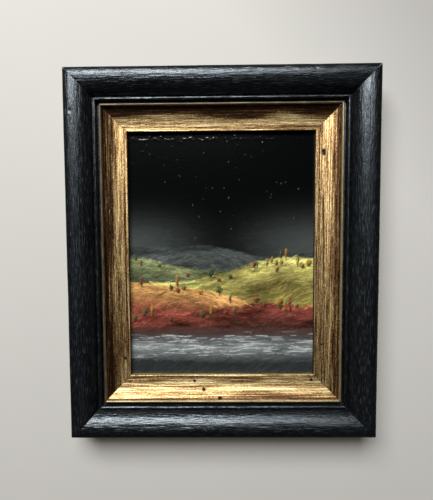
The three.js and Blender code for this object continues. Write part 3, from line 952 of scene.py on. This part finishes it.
hardware = {
    "stripBevel": 0.12,   # mm off the hanger's edges
    "tabBevel": 0.08,     # and off those of the points and wedges
    "segments": 2,
    "flatAngle": 1,       # degrees
    "bevelAngle": 30,
    "sharpAngle": 35,
}


# The node's own shape, merged, with its edges eased
def easedCopy(nodeName, name, width, finish):
    bm = bmesh.new()
    bm.from_mesh(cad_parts[nodeName].data)
    bmesh.ops.remove_doubles(bm, verts=bm.verts, dist=0.00001)
    bmesh.ops.dissolve_limit(bm, angle_limit=radians(hardware["flatAngle"]), verts=bm.verts, edges=bm.edges)
    sharp = [e for e in bm.edges if e.calc_face_angle(0) > radians(hardware["bevelAngle"])]
    bmesh.ops.bevel(bm, geom=sharp, offset=width * mm, offset_type="OFFSET", affect="EDGES",
                    segments=hardware["segments"], profile=0.5, material=-1, clamp_overlap=True)
    bmesh.ops.recalc_face_normals(bm, faces=bm.faces)
    piece = pieceFrom(meshFrom(bm, name), finish)
    shadeBySharpness(piece, hardware["sharpAngle"])
    standIn(piece, nodeName)


tabs = {f"point_{label.lower()}_{i}": f"point{label}{i}" for label in sides for i in (1, 2)}
for corner in (1, 2, 3, 4):
    for i in (1, 2):
        tabs[f"corner_wedge_{corner}_{i}"] = f"cornerWedge{corner}_{i}"
    tabs[f"slip_wedge_{corner}"] = f"slipWedge{corner}"

easedCopy("sawtooth_hanger", "hangerStrip", hardware["stripBevel"], finishes["zinc"])
for nodeName, name in tabs.items():
    easedCopy(nodeName, name, hardware["tabBevel"], finishes["springSteel"])


# A profile of radius and depth in mm, spun full circle about Y
def spun(profile, steps):
    bm = bmesh.new()
    verts = [bm.verts.new((radius, y, 0)) for radius, y in profile]
    edges = [bm.edges.new(pair) for pair in zip(verts, verts[1:])]
    bmesh.ops.spin(bm, geom=verts + edges, cent=(0, 0, 0), axis=(0, 1, 0), angle=2 * pi,
                   steps=steps, use_merge=True)
    bmesh.ops.remove_doubles(bm, verts=bm.verts, dist=0.001)
    bmesh.ops.recalc_face_normals(bm, faces=bm.faces)
    return bm


def toMetres(bm, place):
    bmesh.ops.scale(bm, vec=(mm, mm, mm), verts=bm.verts)
    bmesh.ops.translate(bm, vec=place, verts=bm.verts)


pin = {
    "head": 1.9,
    "crown": 0.8,
    "underHead": 0.15,   # mm that the head's underside is smaller
    "shank": 0.7,
    "tip": 1.5,
    "steps": 28,
}


# A nail turned about Y, domed head towards the wall
def turnedPin(nodeName, name):
    low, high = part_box(nodeName)
    middle = (low + high) / 2
    top, bottom = high.y / mm, low.y / mm
    under = top - pin["crown"]
    profile = [(0, top)]
    profile += [(pin["head"] * sin(turn), under + pin["crown"] * cos(turn))
                for turn in (0.35, 0.7, 1.0, 1.25, pi / 2)]
    profile += [(pin["head"] - pin["underHead"], under), (pin["shank"], under)]
    profile += [(pin["shank"], bottom + pin["tip"]), (0, bottom)]
    bm = spun(profile, pin["steps"])
    toMetres(bm, (middle.x, 0, middle.z))
    piece = pieceFrom(meshFrom(bm, name), finishes["zinc"])
    shadeBySharpness(piece, sharpAngle)
    standIn(piece, nodeName)


turnedPin("hanger_pin_left", "pinLeft")
turnedPin("hanger_pin_right", "pinRight")

bumper = {
    "radius": 4.95,
    "round": 0.5,
    "dish": [(0, 0.12), (0.3, 0.10), (0.55, 0.06), (0.8, 0.03)],  # share of the radius, mm deep
    "segments": 72,
    "fuzz": 0.09,
    "seed": 3,
}


# Punched felt dot: rounded rim, slightly dished and furry all over
def feltDot(nodeName, name, seed):
    low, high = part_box(nodeName)
    middle = (low + high) / 2
    thick = (high.y - low.y) / mm
    radius, edge = bumper["radius"], bumper["round"]
    profile = [(radius * share, thick - deep) for share, deep in bumper["dish"]]
    profile += [(radius - edge + edge * sin(turn), thick - edge + edge * cos(turn))
                for turn in (0, 0.5, 1.0, pi / 2)]
    profile += [(radius, thick * 0.55), (radius, thick * 0.3), (radius - 0.05, 0.1), (radius - 0.2, 0)]
    profile += [(radius * 0.5, 0), (0, 0)]
    bm = spun(profile, bumper["segments"])
    bm.normal_update()
    random = np.random.default_rng(seed)
    for vert in bm.verts:
        vert.co -= vert.normal * float(random.uniform(0, bumper["fuzz"]))
    toMetres(bm, (middle.x, low.y, middle.z))
    for face in bm.faces:
        face.smooth = True
    standIn(pieceFrom(meshFrom(bm, name), finishes["felt"]), nodeName)


feltDot("felt_bumper_left", "feltLeft", bumper["seed"])
feltDot("felt_bumper_right", "feltRight", bumper["seed"] + 1)
print("hardware done")


# Wall, light and camera

stage = {
    "wallSize": 3.0,
    "wallBack": 0.0002,   # metres behind the bumpers' faces
    "openingInset": 2.5,  # mm in from the frame's outer edge
    "mirrorLoss": 0.85,   # share of the wall that reflections see as black, unlike the camera
    "wallTone": (0.335, 0.325, 0.304),
    "wallGlow": (0.050, 0.045, 0.037),  # stands in for light that a room throws back
    "sky": (0.90, 0.95, 1.0),
    "skyStrength": 0.012,
    "backdrop": 0.62,   # seen by the camera alone, where no wall is in view
}


def wallPaint():
    finish = newFinish("wallPaint", Roughness=0.85, IOR=1.4)
    place = objectCoordinates(finish)
    roller = noise(finish, place, (650, 650, 650))
    cloud = noise(finish, place, (9, 9, 9), detail=2)
    base = stage["wallTone"]
    tone = mixed(finish, cloud, tuple(c * 0.97 for c in base), tuple(c * 1.03 for c in base))
    # The wall falls into shade towards its upper right
    split = node(finish, "SeparateXYZ", {"Vector": place}).outputs
    level = maths(finish, "SUBTRACT", split["Z"], picture["centreHeight"] * mm)
    corner = maths(finish, "ADD", split["X"], level)
    tone = mixed(finish, ramp(finish, corner, [(0.20, 0.0), (0.36, 0.3)]), tone, (0.0, 0.0, 0.0))
    wear(finish, Base_Color=tone, Normal=bump(finish, roller, 0.08, 0.0002),
         Emission_Color=(*stage["wallGlow"], 1), Emission_Strength=1.0)
    clear = node(finish, "BsdfTransparent").outputs[0]
    behind = node(finish, "NewGeometry").outputs["Backfacing"]
    paint = finish.node_tree.nodes["Principled BSDF"].outputs[0]
    unlit = node(finish, "BsdfDiffuse", {"Color": (0, 0, 0, 1)}).outputs[0]
    loss = maths(finish, "MULTIPLY", node(finish, "LightPath").outputs["Is Glossy Ray"], stage["mirrorLoss"])
    dimmed = node(finish, "MixShader", {0: loss, 1: paint, 2: unlit}).outputs[0]
    oneSided = node(finish, "MixShader", {0: behind, 1: dimmed, 2: clear}).outputs[0]
    feed(finish, finish.node_tree.nodes["Material Output"].inputs["Surface"], oneSided)
    return finish


# The wall shows only from the room, so that the back can be seen too. It has an opening behind the
# picture for the back light, closed by a patch that only the camera sees.
def wallPiece(name, finish, isPatch):
    bm = bmesh.new()
    bmesh.ops.create_grid(bm, x_segments=3, y_segments=3, size=stage["wallSize"] / 2)
    inner = [v for v in bm.verts if not v.is_boundary]
    standing = stage["wallSize"] / 6  # where the inner vertices of three by three squares stand
    spans = [picture[key] / 2 - stage["openingInset"] for key in ("width", "height")]
    bmesh.ops.scale(bm, vec=(*(span * mm / standing for span in spans), 1), verts=inner)
    dropped = [f for f in bm.faces if all(v in inner for v in f.verts) != isPatch]
    bmesh.ops.delete(bm, geom=dropped, context="FACES")
    bmesh.ops.rotate(bm, verts=bm.verts, cent=(0, 0, 0), matrix=Matrix.Rotation(pi / 2, 3, "X"))
    bmesh.ops.translate(bm, verts=bm.verts, vec=(0, stage["wallBack"], picture["centreHeight"] * mm))
    piece = pieceFrom(meshFrom(bm, name), finish)
    return piece


paintedWall = wallPaint()
wallPiece("wall", paintedWall, False)
patch = wallPiece("wallPatch", paintedWall, True)
patch.visible_diffuse = False
patch.visible_glossy = False
patch.visible_transmission = False
patch.visible_shadow = False

# Area lights: place, aim, size, watts and colour
lights = {
    "overheadLight": ((-0.30, -1.14, 0.72), (0, 0, -0.13), (1.02, 0.68), 52.0, (0.985, 0.99, 1.0)),
    "backLight": ((0.66, 1.20, 0.55), (0, 0, -0.13), (1.0, 1.0), 30.0, (1.0, 0.98, 0.96)),
}
for name, (place, aim, size, watts, colour) in lights.items():
    lamp = bpy.data.lights.new(name, "AREA")
    lamp.shape = "RECTANGLE"
    lamp.size, lamp.size_y = size
    lamp.energy = watts
    lamp.color = colour
    holder = bpy.data.objects.new(name, lamp)
    holder.visible_camera = False
    holder.location = place
    holder.rotation_euler = (Vector(aim) - Vector(place)).to_track_quat("-Z", "Y").to_euler()
    bpy.context.collection.objects.link(holder)

world = bpy.data.worlds.new("paleRoom")
world.use_nodes = True
background = world.node_tree.nodes["Background"]
background.inputs["Color"].default_value = (*stage["sky"], 1)
seen = world.node_tree.nodes.new("ShaderNodeLightPath").outputs["Is Camera Ray"]
strength = world.node_tree.nodes.new("ShaderNodeMapRange")
strength.inputs["To Min"].default_value = stage["skyStrength"]
strength.inputs["To Max"].default_value = stage["backdrop"]
world.node_tree.links.new(seen, strength.inputs["Value"])
world.node_tree.links.new(strength.outputs["Result"], background.inputs["Strength"])
bpy.context.scene.world = world
bpy.context.scene.view_settings.view_transform = "Standard"

view = {
    "frame": (433, 500),         # pixels
    "focal": 440.0,
    "principal": (200.9, 256.6),
    "sensor": 36,
    "nearest": 0.01,
    "yaw": -0.80,
    "pitch": -3.59,
    "roll": -0.42,
    "place": (-0.0116, -0.3656, -0.1126),
}
yaw, pitch, roll = (radians(view[key]) for key in ("yaw", "pitch", "roll"))
forward = Vector((sin(yaw) * cos(pitch), cos(yaw) * cos(pitch), sin(pitch)))
level = Vector((cos(yaw), -sin(yaw), 0))
upright = level.cross(forward)
right = level * cos(roll) + upright * sin(roll)
up = upright * cos(roll) - level * sin(roll)
camera = bpy.data.objects.new("camera", bpy.data.cameras.new("camera"))
turned = Matrix((right, up, -forward)).transposed()
camera.matrix_world = Matrix.Translation(view["place"]) @ turned.to_4x4()
frameWidth, frameHeight = view["frame"]
camera.data.sensor_width = view["sensor"]
camera.data.lens = view["focal"] * view["sensor"] / frameHeight
camera.data.shift_x = (frameWidth / 2 - view["principal"][0]) / frameHeight
camera.data.shift_y = (view["principal"][1] - frameHeight / 2) / frameHeight
camera.data.clip_start = view["nearest"]
bpy.context.collection.objects.link(camera)
bpy.context.scene.camera = camera
print("stage set")
